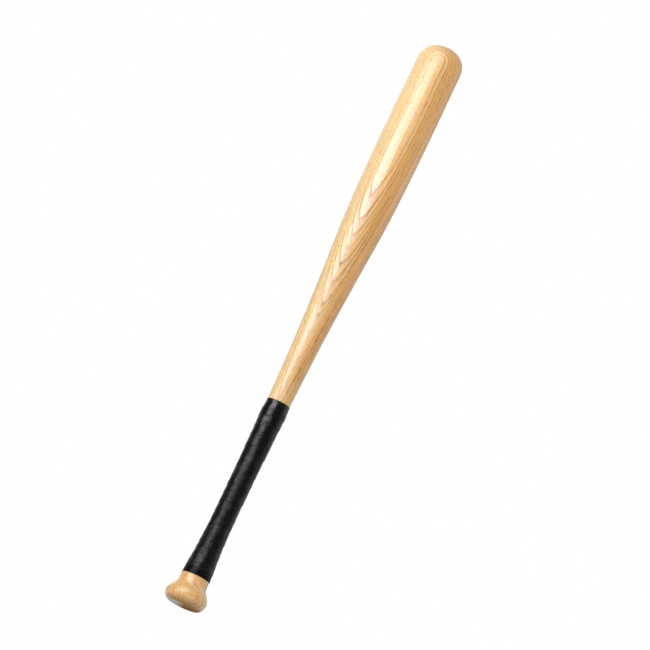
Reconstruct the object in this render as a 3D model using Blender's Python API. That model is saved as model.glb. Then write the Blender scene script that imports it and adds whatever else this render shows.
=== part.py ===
"""Wooden baseball bat: one turned billet, a wound grip tape and a band that finishes each end of it.

Metres, +Z up. The bat stands on its knob. The origin is the centre of the knob's flat end, and +Z
runs along the axis to the barrel.
"""

import math

import bmesh
import bpy
import numpy as np

# Whole bat, from the knob's flat end to the barrel's tip
BAT_LENGTH = 0.8380

# Knob, from its flat end upwards
KNOB_FACE_DIAMETER = 0.0360
KNOB_DIAMETER = 0.0574
KNOB_ROUND_LENGTH = 0.0135
KNOB_FLARE_LENGTH = 0.0198
KNOB_ROUNDNESS = 2.2

# Diameters of the handle, taper and barrel, from the knob's neck upwards
NECK_DIAMETER = 0.0396
PALM_DIAMETER = 0.0322
WAIST_DIAMETER = 0.0277
THROAT_DIAMETER = 0.0318
LOWER_TAPER_DIAMETER = 0.0372
MIDDLE_TAPER_DIAMETER = 0.0476
UPPER_TAPER_DIAMETER = 0.0583
SHOULDER_DIAMETER = 0.0629
BARREL_DIAMETER = 0.0638
CROWN_DIAMETER = 0.0632

# Lengths along the axis from each of those diameters to the next. They stretch together, so that they
# always fill what the knob and the rounded end leave of the bat's length
NECK_TO_PALM = 0.0387
PALM_TO_WAIST = 0.1000
WAIST_TO_THROAT = 0.1300
THROAT_TO_LOWER_TAPER = 0.0920
LOWER_TO_MIDDLE_TAPER = 0.0970
MIDDLE_TO_UPPER_TAPER = 0.0820
UPPER_TAPER_TO_SHOULDER = 0.0770
SHOULDER_TO_BARREL = 0.0900
BARREL_TO_CROWN = 0.0690

# Rounded end of the barrel
DOME_LENGTH = 0.0290
DOME_ROUNDNESS = 2.3

# Grip: a lower band, the wound tape and an upper band, one above the other
BARE_NECK_LENGTH = 0.0082
LOWER_BAND_WIDTH = 0.0105
TAPE_LENGTH = 0.2320
UPPER_BAND_WIDTH = 0.0140
BAND_THICKNESS = 0.0004
TAPE_EDGE_THICKNESS = 0.0007
TAPE_LAP_THICKNESS = 0.0011
LAP_PITCH = 0.0127
LAP_GAP = 0.0006
TAPE_TIP_WIDTH = 0.0015
SEAT_GAP = 0.0003

# Fineness of the turned and wound shapes
TURNED_SIDES = 48
KNOB_CURVE_STEPS = 8
DOME_STEPS = 10
PROFILE_STEP = 0.0150
LOOP_POINTS = 24
BAND_STEPS = 3
SHARP_ANGLE = math.radians(35)

WOOD_COLOUR = (0.79, 0.50, 0.23)
TAPE_COLOUR = (0.014, 0.014, 0.015)
BAND_COLOUR = (0.020, 0.021, 0.024)


def profile_stations():
    """Return (height, radius) along the billet, from the neck to the crown."""
    diameters_and_steps = (
        (PALM_DIAMETER, NECK_TO_PALM),
        (WAIST_DIAMETER, PALM_TO_WAIST),
        (THROAT_DIAMETER, WAIST_TO_THROAT),
        (LOWER_TAPER_DIAMETER, THROAT_TO_LOWER_TAPER),
        (MIDDLE_TAPER_DIAMETER, LOWER_TO_MIDDLE_TAPER),
        (UPPER_TAPER_DIAMETER, MIDDLE_TO_UPPER_TAPER),
        (SHOULDER_DIAMETER, UPPER_TAPER_TO_SHOULDER),
        (BARREL_DIAMETER, SHOULDER_TO_BARREL),
        (CROWN_DIAMETER, BARREL_TO_CROWN),
    )
    height = KNOB_ROUND_LENGTH + KNOB_FLARE_LENGTH
    room = BAT_LENGTH - DOME_LENGTH - height
    stretch = room / sum(step for diameter, step in diameters_and_steps)
    stations = [(height, NECK_DIAMETER / 2)]
    for diameter, step in diameters_and_steps:
        height += step * stretch
        stations.append((height, diameter / 2))
    return stations


def station_slopes(stations):
    """Return the profile's slope at each station: level at both ends and where the profile turns back."""
    slopes = [0.0]
    for below, here, above in zip(stations, stations[1:], stations[2:]):
        span_below = here[0] - below[0]
        span_above = above[0] - here[0]
        slope_below = (here[1] - below[1]) / span_below
        slope_above = (above[1] - here[1]) / span_above
        if slope_below * slope_above <= 0.0:
            slopes.append(0.0)
        else:
            slopes.append((slope_below * span_above + slope_above * span_below) / (span_below + span_above))
    slopes.append(0.0)
    return slopes


STATIONS = profile_stations()
SLOPES = station_slopes(STATIONS)
NECK_HEIGHT = STATIONS[0][0]
CROWN_HEIGHT = STATIONS[-1][0]


def body_radius(height):
    """Radius between the neck and the crown: a smooth curve through the stations."""
    index = 0
    while index < len(STATIONS) - 2 and height > STATIONS[index + 1][0]:
        index += 1
    low_height, low_radius = STATIONS[index]
    high_height, high_radius = STATIONS[index + 1]
    span = high_height - low_height
    t = (height - low_height) / span
    return (
        low_radius * (1 + 2 * t) * (1 - t) ** 2
        + SLOPES[index] * span * t * (1 - t) ** 2
        + high_radius * t * t * (3 - 2 * t)
        - SLOPES[index + 1] * span * t * t * (1 - t)
    )


def rounded_corner(roundness, steps):
    """Return (across, along) points of a quarter of a superellipse, from the side to the tip."""
    points = []
    for step in range(steps + 1):
        angle = math.pi / 2 * step / steps
        across = max(math.cos(angle), 0.0) ** (2 / roundness)
        along = math.sin(angle) ** (2 / roundness)
        points.append((across, along))
    return points


def billet_outline():
    """Return the turned outline as (radius, height), from the knob's flat end to the barrel's tip."""
    outline = []

    # Rounded edge from the flat end out to the knob's widest ring
    face_radius = KNOB_FACE_DIAMETER / 2
    overhang = KNOB_DIAMETER / 2 - face_radius
    for across, along in reversed(rounded_corner(KNOB_ROUNDNESS, KNOB_CURVE_STEPS)):
        outline.append((face_radius + overhang * across, KNOB_ROUND_LENGTH * (1 - along)))

    # Flare from the widest ring in to the neck, half a cosine wave
    middle = (KNOB_DIAMETER + NECK_DIAMETER) / 4
    swing = (KNOB_DIAMETER - NECK_DIAMETER) / 4
    for step in range(1, KNOB_CURVE_STEPS + 1):
        t = step / KNOB_CURVE_STEPS
        outline.append((middle + swing * math.cos(math.pi * t), KNOB_ROUND_LENGTH + KNOB_FLARE_LENGTH * t))

    # Handle, taper and barrel
    rings = math.ceil((CROWN_HEIGHT - NECK_HEIGHT) / PROFILE_STEP)
    for ring in range(1, rings):
        height = NECK_HEIGHT + (CROWN_HEIGHT - NECK_HEIGHT) * ring / rings
        outline.append((body_radius(height), height))

    # Domed end, closed on the axis
    for across, along in rounded_corner(DOME_ROUNDNESS, DOME_STEPS)[:-1]:
        outline.append((CROWN_DIAMETER / 2 * across, CROWN_HEIGHT + DOME_LENGTH * along))
    outline.append((0.0, CROWN_HEIGHT + DOME_LENGTH))
    return outline


def make_material(name, colour, roughness):
    """Return a plain Principled material."""
    material = bpy.data.materials.new(name)
    material.use_nodes = True
    shader = material.node_tree.nodes["Principled BSDF"]
    shader.inputs["Base Color"].default_value = (*colour, 1.0)
    shader.inputs["Roughness"].default_value = roughness
    shader.inputs["Metallic"].default_value = 0.0
    return material


def add_object(name, bm, material, parent, height):
    """Make a closed, smooth-shaded object from bm, whose points are counted from height on the axis."""
    bmesh.ops.recalc_face_normals(bm, faces=bm.faces)
    mesh = bpy.data.meshes.new(name)
    bm.to_mesh(mesh)
    bm.free()
    mesh.shade_smooth()
    mesh.set_sharp_from_angle(angle=SHARP_ANGLE)
    mesh.materials.append(material)
    thing = bpy.data.objects.new(name, mesh)
    bpy.context.scene.collection.objects.link(thing)
    thing.parent = parent
    thing.location = (0.0, 0.0, height)
    return thing


def spin_outline(bm, outline, closed):
    """Turn (radius, height) points round the Z axis. A closed outline makes a ring, an open one a solid."""
    corners = [bm.verts.new((radius, 0.0, height)) for radius, height in outline]
    edges = [bm.edges.new(pair) for pair in zip(corners, corners[1:])]
    if closed:
        edges.append(bm.edges.new((corners[-1], corners[0])))
    bmesh.ops.spin(
        bm,
        geom=corners + edges,
        cent=(0.0, 0.0, 0.0),
        axis=(0.0, 0.0, 1.0),
        angle=2 * math.pi,
        steps=TURNED_SIDES,
        use_merge=True,
    )
    bmesh.ops.remove_doubles(bm, verts=bm.verts, dist=1e-6)


def make_billet(material, parent):
    """The whole wooden bat, turned from one billet: knob, handle, taper and barrel."""
    bm = bmesh.new()
    spin_outline(bm, billet_outline(), closed=False)
    rim = [edge for edge in bm.edges if edge.is_boundary]
    bmesh.ops.contextual_create(bm, geom=rim)
    return add_object("billet", bm, material, parent, 0.0)


def make_band(name, base, width, material, parent):
    """A flat band of thin tape round the handle, its lower edge at the height base."""
    heights = [width * step / BAND_STEPS for step in range(BAND_STEPS + 1)]
    inner = [(body_radius(base + height) + SEAT_GAP, height) for height in heights]
    outer = [(radius + BAND_THICKNESS, height) for radius, height in reversed(inner)]
    bm = bmesh.new()
    spin_outline(bm, inner + outer, closed=True)
    return add_object(name, bm, material, parent, base)


def tape_sections(base, length):
    """Return the tape's cross-sections along its winding, each of four points counted from base.

    The tape climbs one pitch a turn, and each lap is thickest at its lower edge, where it lies over
    the lap below. Both tips are cut to a taper, so that the winding starts and ends level.
    """
    first_turn = (TAPE_TIP_WIDTH + LAP_GAP) / LAP_PITCH
    last_turn = (length + LAP_PITCH - TAPE_TIP_WIDTH) / LAP_PITCH
    count = round((last_turn - first_turn) * LOOP_POINTS)
    chord = math.cos(math.pi / LOOP_POINTS)
    sections = []
    for number in range(count + 1):
        turn = first_turn + number / LOOP_POINTS
        angle = 2 * math.pi * turn
        low = max(0.0, (turn - 1) * LAP_PITCH)
        high = min(length, turn * LAP_PITCH - LAP_GAP)
        low_radius = (body_radius(base + low) + SEAT_GAP) / chord
        high_radius = (body_radius(base + high) + SEAT_GAP) / chord
        corners = (
            (low_radius, low),
            (low_radius + TAPE_LAP_THICKNESS, low),
            (high_radius + TAPE_EDGE_THICKNESS, high),
            (high_radius, high),
        )
        section = [(radius * math.cos(angle), radius * math.sin(angle), height) for radius, height in corners]
        sections.append(section)
    return sections


def least_gap(sections):
    """Return the least distance between points of the tape that lie more than half a turn apart."""
    points = np.array(sections)
    nearest = math.inf
    for number in range(len(points) - LOOP_POINTS // 2):
        later = points[number + LOOP_POINTS // 2:].reshape(-1, 3)
        for corner in points[number]:
            nearest = min(nearest, float(np.linalg.norm(later - corner, axis=1).min()))
    return nearest


def make_tape(base, length, material, parent):
    """The grip tape, one unbroken strip wound up the handle."""
    sections = tape_sections(base, length)
    turns = (len(sections) - 1) / LOOP_POINTS
    print("grip tape: %.1f turns, least gap to itself %.2f mm" % (turns, least_gap(sections) * 1000))
    bm = bmesh.new()
    rings = [[bm.verts.new(point) for point in section] for section in sections]
    loops = [[bm.edges.new((ring[side - 1], ring[side])) for side in range(len(ring))] for ring in rings]
    for lower, upper in zip(loops, loops[1:]):
        bmesh.ops.bridge_loops(bm, edges=lower + upper)
    bmesh.ops.contextual_create(bm, geom=loops[0])
    bmesh.ops.contextual_create(bm, geom=loops[-1])
    return add_object("grip_tape", bm, material, parent, base)


def main():
    for old in list(bpy.data.objects):
        bpy.data.objects.remove(old, do_unlink=True)

    wood = make_material("lacquered_ash", WOOD_COLOUR, 0.28)
    tape = make_material("black_grip_tape", TAPE_COLOUR, 0.50)
    band = make_material("black_finishing_tape", BAND_COLOUR, 0.35)

    axis = bpy.data.objects.new("bat_axis", None)
    bpy.context.scene.collection.objects.link(axis)

    lower_band_base = NECK_HEIGHT + BARE_NECK_LENGTH
    tape_base = lower_band_base + LOWER_BAND_WIDTH + SEAT_GAP
    upper_band_base = tape_base + TAPE_LENGTH + SEAT_GAP

    make_billet(wood, axis)
    make_band("lower_band", lower_band_base, LOWER_BAND_WIDTH, band, axis)
    make_tape(tape_base, TAPE_LENGTH, tape, axis)
    make_band("upper_band", upper_band_base, UPPER_BAND_WIDTH, band, axis)


main()
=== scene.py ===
"""Looks of the wooden baseball bat: lacquered ash with its grain, a wound black grip tape and its two bands.

Metres, +Z up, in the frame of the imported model: the bat stands on its knob with its axis on Z.
"""

import math

import bmesh
import bpy
import numpy as np
from mathutils import Matrix, Quaternion, Vector, noise

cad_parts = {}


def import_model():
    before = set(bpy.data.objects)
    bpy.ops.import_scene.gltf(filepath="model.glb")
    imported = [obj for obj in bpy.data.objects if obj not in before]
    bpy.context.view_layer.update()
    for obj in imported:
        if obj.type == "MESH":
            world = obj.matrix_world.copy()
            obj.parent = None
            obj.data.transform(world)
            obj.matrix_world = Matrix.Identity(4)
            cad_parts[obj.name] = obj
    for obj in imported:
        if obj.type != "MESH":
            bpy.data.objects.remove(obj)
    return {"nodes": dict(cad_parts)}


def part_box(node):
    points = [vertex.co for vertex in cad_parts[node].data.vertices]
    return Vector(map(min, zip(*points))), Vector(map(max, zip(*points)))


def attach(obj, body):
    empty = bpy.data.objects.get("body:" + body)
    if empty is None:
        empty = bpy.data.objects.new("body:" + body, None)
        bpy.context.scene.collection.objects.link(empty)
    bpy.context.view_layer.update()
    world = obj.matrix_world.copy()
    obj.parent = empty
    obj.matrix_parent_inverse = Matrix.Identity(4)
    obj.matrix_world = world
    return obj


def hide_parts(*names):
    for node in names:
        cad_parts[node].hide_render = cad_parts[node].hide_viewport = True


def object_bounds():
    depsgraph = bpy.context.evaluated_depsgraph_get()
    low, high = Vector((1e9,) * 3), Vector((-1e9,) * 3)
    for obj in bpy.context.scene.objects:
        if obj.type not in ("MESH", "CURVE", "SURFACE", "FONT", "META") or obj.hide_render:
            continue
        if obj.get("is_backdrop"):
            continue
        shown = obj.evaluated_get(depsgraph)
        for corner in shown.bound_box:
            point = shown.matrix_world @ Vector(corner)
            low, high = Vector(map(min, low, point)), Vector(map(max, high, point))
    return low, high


# Camera: it looks up the bat from below the knob's level, and the barrel leans right in the picture
CAMERA_PLACE = (0.0, -5.839, -0.903)
CAMERA_AIM = (0.0110, 0.0, 0.4215)
CAMERA_ROLL = math.radians(25.44)
CAMERA_LENS = 250.0
CAMERA_SENSOR = 36.0

# Studio: soft lamps that face the bat, each with its azimuth from the camera's side towards its left and its
# elevation, both in degrees, its distance, width, height and radiance
BAT_MIDDLE = (0.0, 0.0, 0.42)
SOFTBOXES = {
    "key_low": (46.5, 3.5, 3.0, 2.20, 0.80, 3.15),
    "key": (33.5, 18, 3.0, 2.40, 0.75, 4.7),
    "key_high": (30, 46, 3.0, 2.30, 2.10, 2.05),
    "front": (0, 10, 3.0, 2.0, 2.0, 0.65),
    "side": (82, 12, 2.5, 2.0, 2.0, 0.55),
    "fill": (-100, 12, 2.5, 2.0, 2.0, 1.8),
    "back": (182, 15, 3.0, 1.2, 1.4, 1.1),
}
AMBIENT = 0.36

# Lamps that show in no gloss, and lamps with a tint, which makes their highlight slightly pink
UNREFLECTED = ("front", "side", "fill")
TINTED = ("key",)
LAMP_TINT = (1.0, 0.90, 1.05)

# Surroundings in the bat's gloss: a dim room on the camera's side, white behind the bat on its left, less so
# near the level but white again below it and far behind, and greyer on its right. Each is a range of the
# direction's X, Y or Z, and what it reads at its ends, which is 0 and 1 where it isn't given
LEFT_GLOSS = (0.28, 0.78, 0.05, 1.0)
LEFT_RISE = (0.18, 0.26, 0.30, 1.0)
LEFT_LOW = (-0.05, -0.15, 0.0, 0.9)
LEFT_DEEP = (0.45, 0.85)
RIGHT_GLOSS = (-0.70, 0.36, 0.05, 0.70)
RIGHT_FALL = (0.45, 0.95, 0.0, 0.28)
LEFT_TO_RIGHT = (-0.25, 0.25)
FLOOR_GLOSS = 0.35

# Floor: a pale disc that fades to the plain white of the backdrop. Within the radius of its opening, under
# the knob, it lets bounced light through, so that the flat end isn't dark
FLOOR_RADIUS = 6.0
FLOOR_SIDES = 96
FLOOR_DROP = 0.0010
FLOOR_FADE = (0.30, 1.40)
FLOOR_COLOUR = (0.80, 0.80, 0.80, 1.0)
FLOOR_GLOW = 0.25
FLOOR_OPENING = 0.0400

# Turned wood. Rings of the CAD closer than RING_GAP count as one. The flat end has rings at shares of its
# radius, and its curve comes from the share FLAT_END_LEAD
BILLET_SIDES = 144
OUTLINE_STEP = 0.003
RING_GAP = 2e-5
FLAT_END_RINGS = (0.0, 0.35, 0.70, 0.95)
FLAT_END_LEAD = 0.8

# Points closer than these are one, and no gap between two knots of the outline counts as less
TURNED_WELD = 1e-6
STRIP_WELD = 1e-7
LEAST_GAP = 1e-6

# Sharp edges, in degrees between faces
TURNED_SHARP = 40
STRIP_SHARP = 50

# Grip tape, wound in laps that each lie over the one below. A lap's face is TAPE_LIFT off the wood at its
# lower edge and TAPE_FALL at its upper one, TAPE_EASE less at the tape's start and COLLAR_LIFT more at its
# end. A waver's place is its way round, its way along and its start in the noise
LAP_PITCH = 0.0127
LAP_OVERLAP = 0.0026
TAPE_THICKNESS = 0.00036
TAPE_LIFT = 0.00174
TAPE_FALL = 0.00128
TAPE_EASE = 0.00085
EASE_LENGTH = 0.018
EASE_TURNS = 0.15
TAPE_TIP_WIDTH = 0.0015
TAPE_STEPS_PER_TURN = 72
TAPE_REACH = 0.0008
LAP_CROWDING = 0.0135
EDGE_WAVER = 0.00090
LIFT_WAVER = 0.00024
EDGE_WAVER_PLACE = (1.7, 0.9, 0.0)
LIFT_WAVER_PLACE = (2.3, 1.3, 7.0)
COLLAR_LENGTH = 0.022
COLLAR_RISE = 0.004
COLLAR_LIFT = 0.00030

# Finishing bands, thin smooth tape wound three times: the piece's name, the angle in degrees where its free
# end lies, and the hump of its lower part over the grip tape
BANDS = {
    "lower_band": ("lower_finishing_band", 70, 0.0),
    "upper_band": ("upper_finishing_band", 115, 0.0008),
}
BAND_THICKNESS = 0.00015
BAND_SEAT = 0.00004
BAND_TURNS = 3.0
BAND_STEPS_PER_TURN = 96
BAND_SPACING = 1.02
BAND_TAIL = 0.5
HUMP_SHARE = 0.85
HUMP_EASE = 0.70

# Closed cross-section of a strip: share of its width, share of its thickness below its outer face
STRIP_SECTION = (
    (0.000, 0.80),
    (0.000, 0.45),
    (0.005, 0.18),
    (0.016, 0.03),
    (0.035, 0.00),
    (0.080, 0.00),
    (0.200, 0.00),
    (0.350, 0.00),
    (0.500, 0.00),
    (0.650, 0.00),
    (0.800, 0.00),
    (0.920, 0.00),
    (0.984, 0.03),
    (0.995, 0.18),
    (1.000, 0.45),
    (1.000, 0.80),
    (0.700, 1.00),
    (0.300, 1.00),
)

# Ash: the tree's centre lies behind the bat, leans to the right and bends back. In the looks from here on, a
# range is a pair, over which something rises from 0 to 1, or four numbers, the last two of which are what it
# reads at the range's ends
PITH_DEPTH = 0.0889
PITH_SINK = (0.60, 0.74, 0.0, 0.0017)
PITH_SIDE = -0.0115
PITH_LEAN = 0.0620
PITH_BEND = (0.56, 0.80, 0.0, 0.0260)

# Along the handle and the taper the rings fall off by a slope to both sides of a rounded edge at the front
POINTED_FROM = (0.08, 0.25)
POINTED_TO = (0.56, 0.64)
POINTED_SLOPE = 0.086
POINTED_TIP = 0.0015

# Waver of the rings: size of its blobs, their detail and how far it moves a ring
RING_WAVERS = (
    ((0.060, 0.060, 0.200), 1.0, 0.00040),
    ((0.006, 0.006, 0.030), 2.0, 0.00030),
)

# Each ring deepens outwards to a brown line and ends there. They are listed from the back to the front, with
# how far from the tree's centre each starts and the strength of the line there
RINGS = (
    (0.0570, 0.70), (0.0592, 0.50), (0.0617, 0.90), (0.0640, 0.60), (0.0661, 0.80), (0.0686, 0.50),
    (0.0705, 0.70), (0.0731, 1.00), (0.0755, 0.60), (0.0779, 0.80), (0.0801, 0.50), (0.0829, 0.90),
    (0.0850, 0.70), (0.0871, 0.50), (0.0897, 0.80), (0.0919, 1.00), (0.0941, 0.60), (0.0966, 0.70),
    (0.0985, 1.00), (0.1003, 0.90), (0.1019, 0.85), (0.1047, 0.85), (0.1060, 0.25), (0.1064, 0.60),
    (0.1068, 0.65), (0.1087, 0.20), (0.1103, 0.70), (0.1113, 0.90), (0.1136, 0.65), (0.1155, 1.00),
    (0.1174, 0.40), (0.1190, 0.90), (0.1207, 0.85), (0.1222, 1.00), (0.1250, 0.30),
)

# How narrow the lines are, by the distance from the tree's centre, and how a line falls off inwards
NARROWNESS = (0.1060, 0.1110, 0.66, 0.90)
FRONT_NARROWNESS = (0.1208, 0.1218, 0.0, 1.1)
BROAD_FROM = (0.1094, 0.1100)
BROAD_TO = (0.1111, 0.1115)
BROADENING = 0.45
LINE_FALL = ((0.0, 0.3), (0.02, 1.0), (0.14, 0.90), (0.30, 0.40), (0.55, 0.08), (0.95, 0.0))

# How strong the lines are: patchy, and weaker at the front, on the left, and in the knob, throat and barrel
PATCH_SIZE = (0.004, 0.004, 0.035)
PATCHINESS = (0.30, 0.60, 0.50, 1.0)
FRONT_STRIP = (0.009, 0.002)
FRONT_END = (0.620, 0.680)
FRONT_LOSS = 0.38
LEFT_STRENGTH = (-0.016, -0.002, 0.80, 1.0)
KNOB_STRENGTH = (0.030, 0.060, 0.92, 1.0)
BARREL_STRENGTH = (0.560, 0.660, 1.0, 0.76)
THROAT_FROM = (0.120, 0.200)
THROAT_TO = (0.350, 0.300)
THROAT_LOSS = 0.30

# Pores: size of the dashes, the noise that makes one, and how strong a line holds them
PORE_SIZE = (0.00042, 0.00042, 0.0080)
PORE_NOISE = (0.52, 0.64)
PORE_LINE = (0.10, 0.45)
STRAY_SIZE = (0.00045, 0.00045, 0.0050)
STRAY_NOISE = (0.66, 0.72)
STRAY_STRENGTH = 0.6

# Where the wood is honey coloured rather than pale: on the right, behind and in the knob, less in the throat.
# The honey on the right and the pale left are painted shade and painted light.
# Right and behind are shares of the radius, which counts as LEAST_RADIUS at least
SIDE_SHADE_HONEY_ACROSS = (-1.05, 0.72)
SIDE_SHADE_HONEY_POWER = 1.3
BEHIND = (-0.30, 0.50)
HONEY_BEHIND = 0.75
THROAT_PALENESS = 0.35
KNOB_FROM = (0.090, 0.030)
HONEY_IN_KNOB = 0.64
FIGURE_SIZE = (0.0045, 0.0045, 0.120)
FIGURE_SWING = 0.35
DRIFT_SIZE = (0.035, 0.035, 0.180)
DRIFT_SWING = 0.25
LEAST_RADIUS = 0.010

# Shade of the fibres, as a factor and what is added, and of the streaks. Which lines are brown and which
# painted light makes paler, by how far aside they lie, and how much of the wood's colour the lines and
# the pores cover
FIBRE_SIZE = (0.00075, 0.00075, 0.045)
FIBRE_SHADE = (0.30, 0.85)
STREAK_SIZE = (0.0020, 0.0020, 0.090)
STREAK_SWING = 0.12
LINE_LIT_TO_BROWN_ASIDE = (-0.012, 0.001)
LINE_COVER = 0.92
PORE_COVER = 0.75

# Painted highlight: a cooler, pinker strip of colour left of the middle of the front, along the throat and
# the taper
PAINTED_HIGHLIGHT_LEFT = (-0.55, -0.33)
PAINTED_HIGHLIGHT_RIGHT = (-0.02, -0.16)
PAINTED_HIGHLIGHT_FRONT = (0.0, -0.008)
PAINTED_HIGHLIGHT_FROM = (0.270, 0.300)
PAINTED_HIGHLIGHT_TO = (0.590, 0.690, 1.0, 0.0)

# Knob's flat end: darker end grain, deepened towards the back as painted shade, bare of lacquer on its right
# to keep it dark there as painted shade. The lacquer's relief rounds it softly
END_HEIGHTS = (0.0040, 0.0008)
END_PAINTED_SHADE = (-0.016, 0.012, 0.15, 0.85)
END_UNGLOSSED_SHADE = (-0.012, 0.002)
END_RADIUS = 0.0245
END_ROUNDING = 0.0023
END_ROUNDED = (0.0100, 0.0040)

# Relief of the wood and of the lacquer, how the ring lines dull the lacquer, and how it thins up the barrel
FIBRE_DEPTH = 0.00004
PORE_DEPTH = 0.00005
COAT_PORE_DEPTH = 0.000012
ORANGE_PEEL = ((0.0040, 0.0040, 0.0090), 0.000008)
DULL_FALL = ((0.0, 0.9), (0.25, 0.75), (0.6, 0.25), (0.95, 0.0))
DULL_BARREL = (0.600, 0.640, 1.0, 0.3)
DULL_KNOB = (0.030, 0.060, 0.3, 1.0)
DULLING = 0.62
COAT_ALONG = (0.640, 0.750, 1.0, 0.64)
COAT_ROUGHNESS = 0.12
COAT_IOR = 1.6
WOOD_ROUGHNESS = 0.34
LINE_ROUGHNESS = 0.28
WOOD_GLOSS = 0.50

# Grip tape's look: its threads, the size and depth of each relief, and where it's stretched, worn and rubbed
THREAD_PITCH = 0.00080
THREAD_DEPTH = 0.00003
CREASES = ((0.0022, 0.0120, 1.0), 0.00014)
WRINKLES = ((0.0120, 0.0016, 1.0), 0.00018)
DENTS = ((0.0048, 0.0048, 0.0026), 0.00022)
PULLS = ((0.0085, 0.0085, 0.0060), 0.00036)
STRETCHED = (0.215, 0.278)
WORN_SIZE = (0.009, 0.009, 0.005)
WORN_NOISE = (0.32, 0.68)
RUBBED_DENTS = (0.50, 0.75)
STRETCHED_GLOSS = (0.0, 1.0, 0.42, 0.56)
WORN_GLOSS = (0.0, 1.0, 0.84, 1.16)
EDGE_GLOSS = (0.0002, 0.0009, 0.55, 1.0)
STRETCHED_ROUGHNESS = (0.0, 1.0, 0.33, 0.24)
RUBBED_ROUGHNESS = -0.06

# Bands' look
BAND_PULLS = ((0.0300, 0.0009, 1.0), 0.00003)
BAND_RIPPLES = ((0.0070, 0.0070, 0.0030), 0.00009)
HANDLED_SIZE = (0.006, 0.006, 0.006)
HANDLED_NOISE = (0.45, 0.70)
BAND_GLOSS = (0.060, 0.260, 0.11, 0.62)
BAND_ROUGHNESS = 0.18
HANDLED_ROUGHNESS = 0.10

# Colours, linear
ASH_PALE = (0.860, 0.650, 0.335, 1.0)
ASH_HONEY = (0.790, 0.430, 0.135, 1.0)
ASH_PAINTED_HIGHLIGHT = (1.0, 1.0, 1.22, 1.0)
ASH_LINE = (0.37, 0.140, 0.018, 1.0)
# Line colour painted paler, as if lit, on the left
ASH_LINE_PAINTED_LIT = (0.62, 0.360, 0.065, 1.0)
ASH_PORE = (0.28, 0.12, 0.040, 1.0)
ASH_END_GRAIN = (0.36, 0.17, 0.065, 1.0)
TAPE_BLACK = (0.0024, 0.0024, 0.0025, 1.0)
TAPE_WORN = (0.0048, 0.0048, 0.0050, 1.0)
BLACK_GLOSS = (0.95, 1.0, 0.93, 1.0)
BAND_BLACK = (0.0045, 0.0047, 0.0052, 1.0)
BAND_WORN = (0.0090, 0.0093, 0.0100, 1.0)
WHITE = (1.0, 1.0, 1.0, 1.0)


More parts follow.
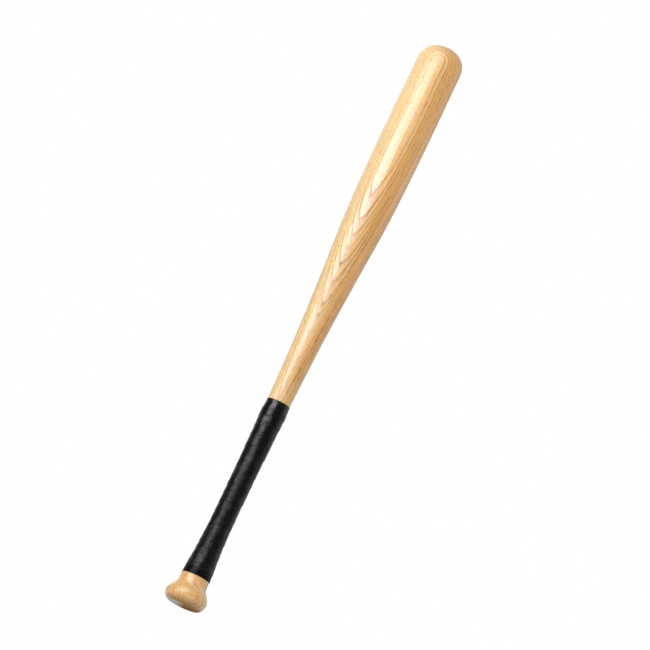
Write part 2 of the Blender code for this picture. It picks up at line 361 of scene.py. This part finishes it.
class Nodes:
    """A node tree, built node by node."""

    def __init__(self, tree):
        self.tree = tree

    def feed(self, socket, value):
        """Give a socket a number or a colour, or link another node's output to it."""
        if isinstance(value, bpy.types.NodeSocket):
            self.tree.links.new(value, socket)
        else:
            socket.default_value = value

    def add(self, kind, sockets=None, **settings):
        """Add a node with its settings and feed its sockets."""
        new = self.tree.nodes.new(kind)
        for key, value in settings.items():
            setattr(new, key, value)
        for key, value in (sockets or {}).items():
            self.feed(new.inputs[key], value)
        return new

    def math(self, operation, *values):
        return self.add("ShaderNodeMath", dict(enumerate(values)), operation=operation).outputs[0]

    def product(self, first, *others):
        for other in others:
            first = self.math("MULTIPLY", first, other)
        return first

    def lessen(self, value, where, loss):
        """Take a share of the value away where another value is 1."""
        return self.math("MULTIPLY", value, self.math("MULTIPLY_ADD", where, -loss, 1.0))

    def length(self, first, second):
        """Length of two values at right angles."""
        squares = self.math("MULTIPLY_ADD", first, first, self.math("MULTIPLY", second, second))
        return self.math("SQRT", squares)

    def object_place(self):
        return self.add("ShaderNodeTexCoord").outputs["Object"]

    def split(self, vector):
        return self.add("ShaderNodeSeparateXYZ", {"Vector": vector}).outputs

    def noise(self, place, size, detail=2.0, roughness=0.5, shift=0.0):
        """Soft noise from 0 to 1, in blobs of about the given size in metres."""
        scale = tuple(1.0 / length for length in size)
        sockets = {"Vector": place, "Scale": scale, "Location": (shift, shift, shift)}
        moved = self.add("ShaderNodeMapping", sockets).outputs[0]
        sockets = {"Vector": moved, "Scale": 1.0, "Detail": detail, "Roughness": roughness}
        return self.add("ShaderNodeTexNoise", sockets).outputs["Fac"]

    def swing(self, value, amount):
        """Turn noise from 0 to 1 into a swing of up to the amount either way."""
        return self.math("MULTIPLY_ADD", value, 2.0 * amount, -amount)

    def grade(self, value, low, high, to_low=0.0, to_high=1.0):
        """Map a value smoothly from one range to another, held at both ends."""
        sockets = {"Value": value, "From Min": low, "From Max": high, "To Min": to_low, "To Max": to_high}
        return self.add("ShaderNodeMapRange", sockets, interpolation_type="SMOOTHSTEP").outputs[0]

    def ramp(self, value, stops):
        """Map a value through (position, level) stops."""
        new = self.add("ShaderNodeValToRGB", {"Fac": value})
        elements = new.color_ramp.elements
        while len(elements) < len(stops):
            elements.new(1.0)
        for element, (position, level) in zip(elements, stops):
            element.position = position
            element.color = (level, level, level, 1.0)
        return new.outputs[0]

    def mix(self, amount, first, second, mode="MIX"):
        """Mix two colours by an amount."""
        new = self.add("ShaderNodeMix", data_type="RGBA", blend_type=mode)
        self.feed(new.inputs["Factor"], amount)
        self.feed(new.inputs[6], first)
        self.feed(new.inputs[7], second)
        return new.outputs[2]

    def curve(self, value, points):
        """Map a value from 0 to 1 along straight lines between (position, level) points."""
        new = self.add("ShaderNodeFloatCurve", {"Value": value})
        line = new.mapping.curves[0].points
        line[0].location = points[0]
        line[1].location = points[-1]
        for position, level in points[1:-1]:
            line.new(position, level)
        for point in line:
            point.handle_type = "VECTOR"
        new.mapping.update()
        return new.outputs[0]

    def bump(self, height, depth, normal=None):
        """Relief from a height of 0 to 1, which stands for a depth in metres."""
        sockets = {"Height": height, "Strength": 1.0, "Distance": depth}
        if normal is not None:
            sockets["Normal"] = normal
        return self.add("ShaderNodeBump", sockets).outputs[0]

    def relief(self, place, form, normal=None, detail=2.0, shift=0.0):
        """Noise of a (size, depth), with the relief that it makes."""
        size, depth = form
        height = self.noise(place, size, detail=detail, shift=shift)
        return height, self.bump(height, depth, normal)

    def plainly_seen(self):
        """1 for rays that show the background: from the camera, and by reflection or through glass."""
        path = self.add("ShaderNodeLightPath").outputs
        mirrored = self.math("MAXIMUM", path["Is Glossy Ray"], path["Is Transmission Ray"])
        return self.math("MAXIMUM", path["Is Camera Ray"], mirrored)


class Surface(Nodes):
    """One material."""

    def __init__(self, name):
        self.material = bpy.data.materials.new(name)
        self.material.use_nodes = True
        super().__init__(self.material.node_tree)
        self.shader = self.tree.nodes["Principled BSDF"]
        self.out = self.tree.nodes["Material Output"]

    def finish(self, sockets):
        """Feed the shader's own sockets."""
        for key, value in sockets.items():
            self.feed(self.shader.inputs[key], value)
        return self.material


def tree_distance(ash, place):
    """Distance from the tree's centre, with rings that are not quite round or straight, and how far aside the
    point lies of the line on the bat's front that faces the centre."""
    x, y, z = ash.split(place)
    lean = ash.math("MULTIPLY_ADD", z, PITH_LEAN, PITH_SIDE)
    lean = ash.math("SUBTRACT", lean, ash.grade(z, *PITH_BEND))
    side = ash.math("SUBTRACT", x, lean)
    depth = ash.math("SUBTRACT", ash.math("SUBTRACT", y, PITH_DEPTH), ash.grade(z, *PITH_SINK))
    distance = ash.length(side, depth)

    aside = ash.math("SUBTRACT", x, ash.math("MULTIPLY", y, ash.math("DIVIDE", lean, PITH_DEPTH)))
    pointed = ash.math("SUBTRACT", ash.grade(z, *POINTED_FROM), ash.grade(z, *POINTED_TO))
    edge = ash.product(pointed, POINTED_SLOPE, ash.length(aside, POINTED_TIP))
    distance = ash.math("SUBTRACT", distance, edge)
    for size, detail, amount in RING_WAVERS:
        distance = ash.math("ADD", distance, ash.swing(ash.noise(place, size, detail=detail), amount))
    return distance, aside


def growth_rings(surface, distance):
    """Number of the ring at a distance from the tree's centre, whose fraction is the share of the ring behind
    the point, and the mark of the line there, which is its strength."""
    first = RINGS[0][0]
    span = RINGS[-1][0] - first
    count = len(RINGS) - 1
    share = surface.math("DIVIDE", surface.math("SUBTRACT", distance, first), span)
    places = [(start - first) / span for start, mark in RINGS]
    number = surface.curve(share, [(place, index / count) for index, place in enumerate(places)])
    mark = surface.curve(share, [(place, mark) for place, (start, mark) in zip(places, RINGS)])
    return surface.math("MULTIPLY", number, float(count)), mark


def ring_lines(ash, place, distance, aside, throat):
    """The brown lines at the rings' ends, how far before its ring's end a point lies, and the line's mark."""
    z = ash.split(place)[2]
    number, mark = growth_rings(ash, distance)
    narrowness = ash.grade(distance, *NARROWNESS)
    narrowness = ash.math("ADD", narrowness, ash.grade(distance, *FRONT_NARROWNESS))
    broad = ash.math("SUBTRACT", ash.grade(distance, *BROAD_FROM), ash.grade(distance, *BROAD_TO))
    narrowness = ash.math("MULTIPLY_ADD", broad, -BROADENING, narrowness)
    before_end = ash.math("SUBTRACT", 1.0, ash.math("FRACT", number))
    before_end = ash.math("MULTIPLY", before_end, narrowness)

    patchy = ash.grade(ash.noise(place, PATCH_SIZE, detail=3.0), *PATCHINESS)
    line = ash.product(ash.ramp(before_end, LINE_FALL), ash.math("MULTIPLY", mark, patchy))
    front = ash.grade(ash.math("ABSOLUTE", aside), *FRONT_STRIP)
    front = ash.math("MAXIMUM", ash.math("SUBTRACT", front, ash.grade(z, *FRONT_END)), 0.0)
    line = ash.lessen(line, front, FRONT_LOSS)
    line = ash.product(line, ash.grade(aside, *LEFT_STRENGTH), ash.grade(z, *KNOB_STRENGTH))
    line = ash.math("MULTIPLY", line, ash.grade(z, *BARREL_STRENGTH))
    return ash.lessen(line, throat, THROAT_LOSS), before_end, mark


def wood_pores(ash, place, line):
    """Short dark dashes along the grain, most of them in the ring lines."""
    dashes = ash.noise(place, PORE_SIZE, detail=1.0)
    sparse = ash.noise(place, STRAY_SIZE, detail=0.0, shift=3.7)
    pores = ash.math("MULTIPLY", ash.grade(dashes, *PORE_NOISE), ash.grade(line, *PORE_LINE))
    stray = ash.math("MULTIPLY", ash.grade(sparse, *STRAY_NOISE), STRAY_STRENGTH)
    return ash.math("MAXIMUM", pores, stray)


def honey_and_side_shade_share(ash, place, rightward, behind, throat):
    """How far the wood is honey coloured and not pale, from 0 to 1: tone that varies, and painted shade on
    the right.
    """
    figure = ash.swing(ash.noise(place, FIGURE_SIZE, detail=2.0, shift=1.3), FIGURE_SWING)
    drift = ash.swing(ash.noise(place, DRIFT_SIZE, detail=1.0, shift=5.1), DRIFT_SWING)
    # Painted light and shade: paler on the lit left, darker honey towards the shaded right
    honey = ash.math("POWER", ash.grade(rightward, *SIDE_SHADE_HONEY_ACROSS), SIDE_SHADE_HONEY_POWER)
    honey = ash.lessen(honey, throat, THROAT_PALENESS)
    honey = ash.math("MAXIMUM", honey, ash.math("MULTIPLY", behind, HONEY_BEHIND))
    knob = ash.grade(ash.split(place)[2], *KNOB_FROM)
    honey = ash.math("ADD", honey, ash.math("MULTIPLY", knob, ash.math("SUBTRACT", HONEY_IN_KNOB, honey)))
    honey = ash.math("ADD", honey, ash.math("ADD", figure, drift))
    return ash.math("MINIMUM", ash.math("MAXIMUM", honey, 0.0), 1.0)


def wood_colour(ash, place, aside, throat, fibres, line, pores, end_grain):
    """Pale and honey coloured wood with its fibres, lines and pores, and the painted light and shade laid
    into it.
    """
    x, y, z = ash.split(place)
    radius = ash.math("MAXIMUM", ash.length(x, y), LEAST_RADIUS)
    rightward = ash.math("DIVIDE", x, radius)
    behind = ash.grade(ash.math("DIVIDE", y, radius), *BEHIND)
    # The honey share carries the painted shade on the right and the painted light on the left
    honey = honey_and_side_shade_share(ash, place, rightward, behind, throat)
    colour = ash.mix(honey, ASH_PALE, ASH_HONEY)

    streaks = ash.noise(place, STREAK_SIZE, detail=2.0, shift=2.6)
    shade = ash.math("ADD", ash.math("MULTIPLY_ADD", fibres, *FIBRE_SHADE), ash.swing(streaks, STREAK_SWING))
    shade = ash.add("ShaderNodeCombineColor", {"Red": shade, "Green": shade, "Blue": shade}).outputs[0]
    colour = ash.mix(1.0, colour, shade, "MULTIPLY")

    # Painted highlight: the wood's colour turns cooler and pinker in a strip left of the front's middle
    painted_highlight = ash.product(
        ash.grade(rightward, *PAINTED_HIGHLIGHT_LEFT),
        ash.grade(rightward, *PAINTED_HIGHLIGHT_RIGHT),
        ash.grade(y, *PAINTED_HIGHLIGHT_FRONT),
        ash.grade(z, *PAINTED_HIGHLIGHT_TO),
        ash.grade(z, *PAINTED_HIGHLIGHT_FROM),
    )
    colour = ash.mix(painted_highlight, colour, ASH_PAINTED_HIGHLIGHT, "MULTIPLY")

    # Painted light: left of the front the lines take a paler colour, as if lit, and they are brown to the
    # right and behind
    brown = ash.math("MAXIMUM", ash.grade(aside, *LINE_LIT_TO_BROWN_ASIDE), behind)
    line_colour = ash.mix(brown, ASH_LINE_PAINTED_LIT, ASH_LINE)
    colour = ash.mix(ash.math("MULTIPLY", line, LINE_COVER), colour, line_colour)
    colour = ash.mix(ash.math("MULTIPLY", pores, PORE_COVER), colour, ASH_PORE)
    # Painted shade: the end grain's darker colour grows towards the back of the flat end
    end_grain_and_shade = ash.math("MULTIPLY", end_grain, ash.grade(y, *END_PAINTED_SHADE))
    return ash.mix(end_grain_and_shade, colour, ASH_END_GRAIN)


def lacquer_relief(ash, place, sunk):
    """The lacquer's own relief: it sinks a little into the pores and softly rounds the knob's flat end."""
    x, y, z = ash.split(place)
    middle = ash.math("DIVIDE", ash.length(x, y), END_RADIUS)
    middle = ash.product(middle, middle, ash.grade(z, *END_ROUNDED))
    middle = ash.math("MINIMUM", middle, 1.0)
    middle = ash.math("MULTIPLY", middle, ash.math("SUBTRACT", 2.0, middle))
    relief = ash.bump(ash.math("MULTIPLY", middle, -1.0), END_ROUNDING)
    relief = ash.relief(place, ORANGE_PEEL, relief, detail=1.0, shift=9.2)[1]
    return ash.bump(sunk, COAT_PORE_DEPTH, relief)


def ash_material():
    """Ring-porous ash under clear gloss lacquer."""
    ash = Surface("lacquered_ash")
    place = ash.object_place()
    x, _, z = ash.split(place)
    throat = ash.math("MULTIPLY", ash.grade(z, *THROAT_TO), ash.grade(z, *THROAT_FROM))
    distance, aside = tree_distance(ash, place)
    line, before_end, mark = ring_lines(ash, place, distance, aside, throat)
    pores = wood_pores(ash, place, line)
    fibres = ash.noise(place, FIBRE_SIZE, detail=3.0, roughness=0.6)
    end_grain = ash.grade(z, *END_HEIGHTS)
    colour = wood_colour(ash, place, aside, throat, fibres, line, pores, end_grain)

    # The lacquer levels the fibres and sinks a little into the pores, and the ring lines dull it
    sunk = ash.math("MULTIPLY", pores, -1.0)
    relief = ash.bump(sunk, PORE_DEPTH, ash.bump(fibres, FIBRE_DEPTH))
    dulling = ash.product(ash.ramp(before_end, DULL_FALL), mark, ash.grade(z, *DULL_BARREL))
    dulling = ash.math("MULTIPLY", dulling, ash.grade(z, *DULL_KNOB))
    # Painted shade: the flat end has no lacquer on its right, so that it shows no reflection there
    lacquered = ash.math("SUBTRACT", 1.0, ash.math("MULTIPLY", end_grain, ash.grade(x, *END_UNGLOSSED_SHADE)))
    coat = ash.math("MULTIPLY_ADD", dulling, -DULLING, ash.grade(z, *COAT_ALONG))
    return ash.finish(
        {
            "Base Color": colour,
            "Roughness": ash.math("MULTIPLY_ADD", line, LINE_ROUGHNESS, WOOD_ROUGHNESS),
            "Specular IOR Level": ash.math("MULTIPLY", lacquered, WOOD_GLOSS),
            "Normal": relief,
            "Coat Weight": ash.math("MULTIPLY", coat, lacquered),
            "Coat Roughness": COAT_ROUGHNESS,
            "Coat IOR": COAT_IOR,
            "Coat Normal": lacquer_relief(ash, place, sunk),
        }
    )


def tape_material():
    """Black satin grip tape with a fine cross texture, rubbed where it stands out."""
    tape = Surface("black_grip_tape")
    strip = tape.add("ShaderNodeUVMap", uv_map="strip").outputs[0]
    place = tape.object_place()
    along, across = tape.split(strip)[0:2]

    # Threads that cross under the coating
    warp = tape.math("SINE", tape.math("MULTIPLY", along, 2 * math.pi / THREAD_PITCH))
    weft = tape.math("SINE", tape.math("MULTIPLY", across, 2 * math.pi / THREAD_PITCH))
    threads = tape.math("MULTIPLY_ADD", tape.math("MULTIPLY", warp, weft), 0.5, 0.5)
    relief = tape.bump(threads, THREAD_DEPTH)

    # Creases across the strip and wrinkles along it from its pull, small dents and broad pulls
    relief = tape.relief(strip, CREASES, relief)[1]
    relief = tape.relief(strip, WRINKLES, relief, shift=8.3)[1]
    dents, relief = tape.relief(place, DENTS, relief)
    relief = tape.relief(place, PULLS, relief, detail=1.0, shift=4.4)[1]

    # It's stretched and glossier at its upper end, rubbed on what stands out, and duller at its laps' edges
    stretched = tape.grade(tape.split(place)[2], *STRETCHED)
    worn = tape.grade(tape.noise(place, WORN_SIZE, detail=2.0, shift=6.1), *WORN_NOISE)
    rubbed = tape.math("MULTIPLY", tape.grade(dents, *RUBBED_DENTS), worn)
    gloss = tape.product(
        tape.grade(stretched, *STRETCHED_GLOSS),
        tape.grade(worn, *WORN_GLOSS),
        tape.grade(across, *EDGE_GLOSS),
    )
    roughness = tape.grade(stretched, *STRETCHED_ROUGHNESS)
    return tape.finish(
        {
            "Base Color": tape.mix(rubbed, TAPE_BLACK, TAPE_WORN),
            "Roughness": tape.math("MULTIPLY_ADD", rubbed, RUBBED_ROUGHNESS, roughness),
            "Specular IOR Level": gloss,
            "Specular Tint": BLACK_GLOSS,
            "Normal": relief,
        }
    )


def band_material():
    """Smooth black finishing tape, stretched round and slightly glossy, more so on the upper band."""
    band = Surface("black_finishing_tape")
    strip = band.add("ShaderNodeUVMap", uv_map="strip").outputs[0]
    place = band.object_place()
    relief = band.relief(strip, BAND_PULLS)[1]
    relief = band.relief(place, BAND_RIPPLES, relief)[1]
    handled = band.grade(band.noise(place, HANDLED_SIZE, detail=3.0), *HANDLED_NOISE)
    return band.finish(
        {
            "Base Color": band.mix(handled, BAND_BLACK, BAND_WORN),
            "Roughness": band.math("MULTIPLY_ADD", handled, HANDLED_ROUGHNESS, BAND_ROUGHNESS),
            "Specular IOR Level": band.grade(band.split(place)[2], *BAND_GLOSS),
            "Specular Tint": BLACK_GLOSS,
            "Normal": relief,
        }
    )


def held(value):
    """The value, held between 0 and 1."""
    return min(max(value, 0.0), 1.0)


def eased(value):
    """A smooth step from 0 to 1."""
    value = held(value)
    return value * value * (3 - 2 * value)


def node_outline(node):
    """The turned outline of a CAD node as (radius, height), read from its rings, from bottom to top."""
    rings = []
    for corner in sorted(node.data.vertices, key=lambda vertex: vertex.co.z):
        radius = math.hypot(corner.co.x, corner.co.y)
        if not rings or corner.co.z - rings[-1][1] > RING_GAP:
            rings.append([radius, corner.co.z])
        elif radius > rings[-1][0]:
            rings[-1][0] = radius
    return [tuple(ring) for ring in rings]


def knot_slopes(first, second, third, fourth):
    """Slopes of a smooth curve where it leaves the second of four knots and where it arrives at the third."""
    low = max((second - first).length, LEAST_GAP)
    gap = max((third - second).length, LEAST_GAP)
    high = max((fourth - third).length, LEAST_GAP)
    leaving = (second - first) / low - (third - first) / (low + gap) + (third - second) / gap
    arriving = (third - second) / gap - (fourth - second) / (gap + high) + (fourth - third) / high
    return leaving * gap, arriving * gap


def smooth_outline(rings):
    """A finer outline on one smooth curve through the rings, level at the flat end and at the tip."""
    low_radius, low_height = rings[0]
    tip_height = rings[-1][1]
    before = (FLAT_END_LEAD * low_radius, low_height)
    after = (-rings[-2][0], rings[-2][1])
    knots = [Vector(point) for point in (before, *rings, after)]
    knots[-2] = Vector((0.0, tip_height))
    outline = []
    for first, second, third, fourth in zip(knots, knots[1:], knots[2:], knots[3:]):
        leaving, arriving = knot_slopes(first, second, third, fourth)
        steps = max(3, round((third - second).length / OUTLINE_STEP))
        for step in range(steps):
            t = step / steps
            point = (
                second * (1 + 2 * t) * (1 - t) ** 2
                + leaving * t * (1 - t) ** 2
                + third * t * t * (3 - 2 * t)
                - arriving * t * t * (1 - t)
            )
            outline.append((max(point.x, 0.0), point.y))
    outline.append((0.0, tip_height))
    return outline


def outline_radius(outline, height):
    """Radius of the outline at a height."""
    radii, heights = outline
    return float(np.interp(height, heights, radii))


def settle_order(bm):
    """Put edges and faces in the order of their corners, since spin leaves them in another order each run."""
    bm.verts.index_update()
    for parts in (bm.edges, bm.faces):
        corners = {part: sorted(corner.index for corner in part.verts) for part in parts}
        places = {part: place for place, part in enumerate(sorted(parts, key=corners.get))}
        parts.sort(key=places.get)


def add_piece(name, bm, material, sharp_angle):
    """Make a smooth-shaded object from bm and let it ride on the bat."""
    bmesh.ops.recalc_face_normals(bm, faces=bm.faces)
    mesh = bpy.data.meshes.new(name)
    bm.to_mesh(mesh)
    bm.free()
    mesh.shade_smooth()
    mesh.set_sharp_from_angle(angle=math.radians(sharp_angle))
    mesh.materials.append(material)
    piece = bpy.data.objects.new(name, mesh)
    bpy.context.scene.collection.objects.link(piece)
    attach(piece, "root")
    return piece


def make_billet(profile, material):
    """The turned wood, from the middle of the knob's flat end to the barrel's tip."""
    flat_radius = profile[0][0]
    profile = [(flat_radius * share, 0.0) for share in FLAT_END_RINGS] + profile
    bm = bmesh.new()
    corners = [bm.verts.new((radius, 0.0, height)) for radius, height in profile]
    edges = [bm.edges.new(pair) for pair in zip(corners, corners[1:])]
    bmesh.ops.spin(
        bm,
        geom=corners + edges,
        cent=(0.0, 0.0, 0.0),
        axis=(0.0, 0.0, 1.0),
        angle=2 * math.pi,
        steps=BILLET_SIDES,
        use_merge=True,
    )
    bmesh.ops.remove_doubles(bm, verts=bm.verts, dist=TURNED_WELD)
    settle_order(bm)
    return add_piece("turned_billet", bm, material, TURNED_SHARP)


def make_strip(name, steps, place, reach, material):
    """A closed strip. At a share of its length, place(share, across, below) gives a point of its section, and
    reach(share) gives its way along and its width."""
    count = len(STRIP_SECTION)
    bm = bmesh.new()
    layer = bm.loops.layers.uv.new("strip")
    bmesh.ops.create_grid(bm, x_segments=steps, y_segments=count, size=0.5)
    for face in bm.faces:
        for loop in face.loops:
            along, width = reach(loop.vert.co.x + 0.5)
            across = STRIP_SECTION[round((loop.vert.co.y + 0.5) * count) % count][0]
            loop[layer].uv = (along, across * width)
    for corner in bm.verts:
        across, below = STRIP_SECTION[round((corner.co.y + 0.5) * count) % count]
        corner.co = place(corner.co.x + 0.5, across, below)
    bmesh.ops.remove_doubles(bm, verts=bm.verts, dist=STRIP_WELD)
    bmesh.ops.holes_fill(bm, edges=[edge for edge in bm.edges if edge.is_boundary], sides=count)
    return add_piece(name, bm, material, STRIP_SHARP)


def wavering(turn, place):
    """Noise that changes smoothly round and along a winding."""
    around, along, shift = place
    angle = 2 * math.pi * turn
    return 2 * noise.noise(Vector((around * math.cos(angle), around * math.sin(angle), along * turn + shift)))


def make_tape(outline, base, length, material):
    """The grip tape, wound up the handle with each lap's lower edge over the lap below."""
    first_turn = TAPE_TIP_WIDTH / LAP_PITCH
    last_turn = (length + LAP_PITCH - TAPE_TIP_WIDTH) / LAP_PITCH
    turns = last_turn - first_turn
    steps = round(turns * TAPE_STEPS_PER_TURN)
    round_the_grip = 2 * math.pi * outline_radius(outline, base + length / 2)

    def edges(turn):
        """Heights of the tape's lower and upper edge."""
        low = (turn - 1) * LAP_PITCH + EDGE_WAVER * wavering(turn, EDGE_WAVER_PLACE)
        low *= held((turn - first_turn - 1.0) / EASE_TURNS)
        high = turn * LAP_PITCH + LAP_OVERLAP
        return max(0.0, low), min(length, high)

    def crowded(height):
        """Laps lie closer at the lower end than at the upper one."""
        return height - LAP_CROWDING * math.sin(math.pi * height / length)

    def place(share, across, below):
        turn = first_turn + turns * share
        angle = 2 * math.pi * turn
        low, high = edges(turn)
        height = low + (high - low) * across
        slope = (height / LAP_PITCH - (turn - 1)) * LAP_PITCH / (LAP_PITCH + LAP_OVERLAP)
        lift = TAPE_LIFT + (TAPE_FALL - TAPE_LIFT) * held(slope)
        lift += LIFT_WAVER * wavering(turn, LIFT_WAVER_PLACE)
        lift -= TAPE_EASE * max(0.0, 1.0 - height / EASE_LENGTH) ** 2
        height = crowded(height)
        lift += COLLAR_LIFT * eased((height - length + COLLAR_LENGTH) / COLLAR_RISE)
        radius = outline_radius(outline, base + height) + lift - TAPE_THICKNESS * below
        return Vector((radius * math.cos(angle), radius * math.sin(angle), base + height))

    def reach(share):
        low, high = edges(first_turn + turns * share)
        return share * turns * round_the_grip, high - low

    return make_strip("wound_grip_tape", steps, place, reach, material)


def make_band(name, outline, base, width, finish_angle, hump, material):
    """A finishing band, wound until its end lies over its own laps at finish_angle."""
    steps = round(BAND_TURNS * BAND_STEPS_PER_TURN)
    round_the_grip = 2 * math.pi * outline_radius(outline, base + width / 2)

    def place(share, across, below):
        angle = finish_angle + 2 * math.pi * BAND_TURNS * (share - 1)
        height = width * across
        lift = BAND_SEAT + BAND_THICKNESS * (BAND_SPACING * BAND_TURNS * share + 1.0 - below)
        tail = min((1.0 - share) * BAND_STEPS_PER_TURN * BAND_TURNS / 2, 1.0)
        lift -= BAND_THICKNESS * BAND_TAIL * (1.0 - tail) * (1.0 - below)
        lift += hump * eased((HUMP_SHARE - across) / HUMP_EASE)
        radius = outline_radius(outline, base + height) + lift
        return Vector((radius * math.cos(angle), radius * math.sin(angle), base + height))

    def reach(share):
        return share * BAND_TURNS * round_the_grip, width

    return make_strip(name, steps, place, reach, material)


def add_softbox(name, azimuth, elevation, distance, width, height, radiance):
    """A flat soft lamp that faces the middle of the bat."""
    lamp = bpy.data.lights.new(name, "AREA")
    lamp.shape = "RECTANGLE"
    lamp.size = width
    lamp.size_y = height
    lamp.energy = radiance * math.pi * width * height
    if name in TINTED:
        lamp.color = LAMP_TINT
    turn, rise = math.radians(azimuth), math.radians(elevation)
    away = Vector((-math.sin(turn) * math.cos(rise), -math.cos(turn) * math.cos(rise), math.sin(rise)))
    box = bpy.data.objects.new(name, lamp)
    box.location = Vector(BAT_MIDDLE) + away * distance
    box.rotation_mode = "QUATERNION"
    box.rotation_quaternion = away.to_track_quat("Z", "Y")
    box.visible_camera = False
    box.visible_glossy = name not in UNREFLECTED
    bpy.context.scene.collection.objects.link(box)


def add_camera():
    """The camera, aimed at the bat and rolled so that the bat leans as in the picture."""
    data = bpy.data.cameras.new("camera")
    data.lens = CAMERA_LENS
    data.sensor_width = CAMERA_SENSOR
    data.sensor_fit = "HORIZONTAL"
    camera = bpy.data.objects.new("camera", data)
    place = Vector(CAMERA_PLACE)
    facing = (Vector(CAMERA_AIM) - place).to_track_quat("-Z", "Y")
    camera.location = place
    camera.rotation_mode = "QUATERNION"
    camera.rotation_quaternion = facing @ Quaternion((0.0, 0.0, 1.0), CAMERA_ROLL)
    bpy.context.scene.collection.objects.link(camera)
    bpy.context.scene.camera = camera


def make_world():
    """White where the camera sees it, a plain soft light on the object, and the surroundings in its gloss."""
    world = bpy.data.worlds.new("studio")
    world.use_nodes = True
    nodes = Nodes(world.node_tree)
    x, y, z = nodes.split(nodes.add("ShaderNodeTexCoord").outputs["Generated"])
    low = nodes.math("MULTIPLY", nodes.grade(z, *LEFT_LOW), nodes.grade(y, *LEFT_DEEP))
    left = nodes.math("MAXIMUM", nodes.grade(z, *LEFT_RISE), low)
    left = nodes.math("MULTIPLY", nodes.grade(y, *LEFT_GLOSS), left)
    right = nodes.math("SUBTRACT", nodes.grade(y, *RIGHT_GLOSS), nodes.grade(y, *RIGHT_FALL))
    share = nodes.grade(x, *LEFT_TO_RIGHT)
    gloss = nodes.math("MULTIPLY_ADD", share, nodes.math("SUBTRACT", right, left), left)
    camera = nodes.add("ShaderNodeLightPath").outputs["Is Camera Ray"]
    strength = nodes.math("MAXIMUM", camera, gloss)
    seen = nodes.add("ShaderNodeBackground", {"Strength": strength}).outputs[0]
    light = nodes.add("ShaderNodeBackground", {"Strength": AMBIENT}).outputs[0]
    choice = nodes.add("ShaderNodeMixShader", {0: nodes.plainly_seen(), 1: light, 2: seen})
    for background in (seen, light):
        background.node.inputs["Color"].default_value = WHITE
    nodes.feed(nodes.tree.nodes["World Output"].inputs["Surface"], choice.outputs[0])
    bpy.context.scene.world = world


def make_floor():
    """A pale floor that keeps the shadow, fades to the white backdrop, is clear from below, and is open under
    the knob to what lights its flat end."""
    floor = Surface("pale_floor")
    x, y = floor.split(floor.object_place())[0:2]
    away = floor.length(x, y)
    path = floor.add("ShaderNodeLightPath").outputs
    seen = floor.plainly_seen()
    fade = floor.grade(away, *FLOOR_FADE)
    lit = floor.add("ShaderNodeBsdfDiffuse", {"Color": FLOOR_COLOUR}).outputs[0]
    glow = floor.add("ShaderNodeEmission", {"Strength": floor.math("MULTIPLY", seen, FLOOR_GLOW)}).outputs[0]
    near = floor.add("ShaderNodeAddShader", {0: lit, 1: glow}).outputs[0]
    brightness = floor.grade(path["Is Glossy Ray"], 0.0, 1.0, 1.0, FLOOR_GLOSS)
    white = floor.add("ShaderNodeEmission", {"Strength": brightness}).outputs[0]
    far_amount = floor.math("MULTIPLY", fade, seen)
    top = floor.add("ShaderNodeMixShader", {0: far_amount, 1: near, 2: white}).outputs[0]
    clear = floor.add("ShaderNodeBsdfTransparent").outputs[0]
    below = floor.add("ShaderNodeNewGeometry").outputs["Backfacing"]
    bounced = floor.math("MAXIMUM", path["Is Diffuse Ray"], path["Is Glossy Ray"])
    opening = floor.math("MULTIPLY", bounced, floor.math("LESS_THAN", away, FLOOR_OPENING))
    open_amount = floor.math("MAXIMUM", below, opening)
    whole = floor.add("ShaderNodeMixShader", {0: open_amount, 1: top, 2: clear}).outputs[0]
    floor.feed(floor.out.inputs["Surface"], whole)

    bm = bmesh.new()
    drop = Matrix.Translation((0.0, 0.0, -FLOOR_DROP))
    bmesh.ops.create_circle(bm, cap_ends=True, segments=FLOOR_SIDES, radius=FLOOR_RADIUS, matrix=drop)
    mesh = bpy.data.meshes.new("floor")
    bm.to_mesh(mesh)
    bm.free()
    mesh.materials.append(floor.material)
    thing = bpy.data.objects.new("floor", mesh)
    bpy.context.scene.collection.objects.link(thing)
    thing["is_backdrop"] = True


def corners(bounds):
    """Bounds as plain lists, rounded to a hundredth of a millimetre."""
    return [[round(value, 5) for value in corner] for corner in bounds]


def main():
    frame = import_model()
    cad_bounds = corners(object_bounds())
    profile = smooth_outline(node_outline(frame["nodes"]["billet"]))
    outline = tuple(zip(*profile))
    wood = ash_material()
    tape = tape_material()
    band = band_material()

    billet = make_billet(profile, wood)
    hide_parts("billet")

    low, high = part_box("grip_tape")
    winding = make_tape(outline, low.z - TAPE_REACH, high.z - low.z + 2 * TAPE_REACH, tape)
    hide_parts("grip_tape")

    for node, (name, finish_angle, hump) in BANDS.items():
        low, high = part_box(node)
        ring = make_band(name, outline, low.z, high.z - low.z, math.radians(finish_angle), hump, band)
        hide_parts(node)

    make_floor()
    make_world()
    for name, setting in SOFTBOXES.items():
        add_softbox(name, *setting)
    add_camera()
    bpy.context.scene.view_settings.view_transform = "Standard"

    sizes = {"cad": cad_bounds, "visual": corners(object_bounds())}


main()
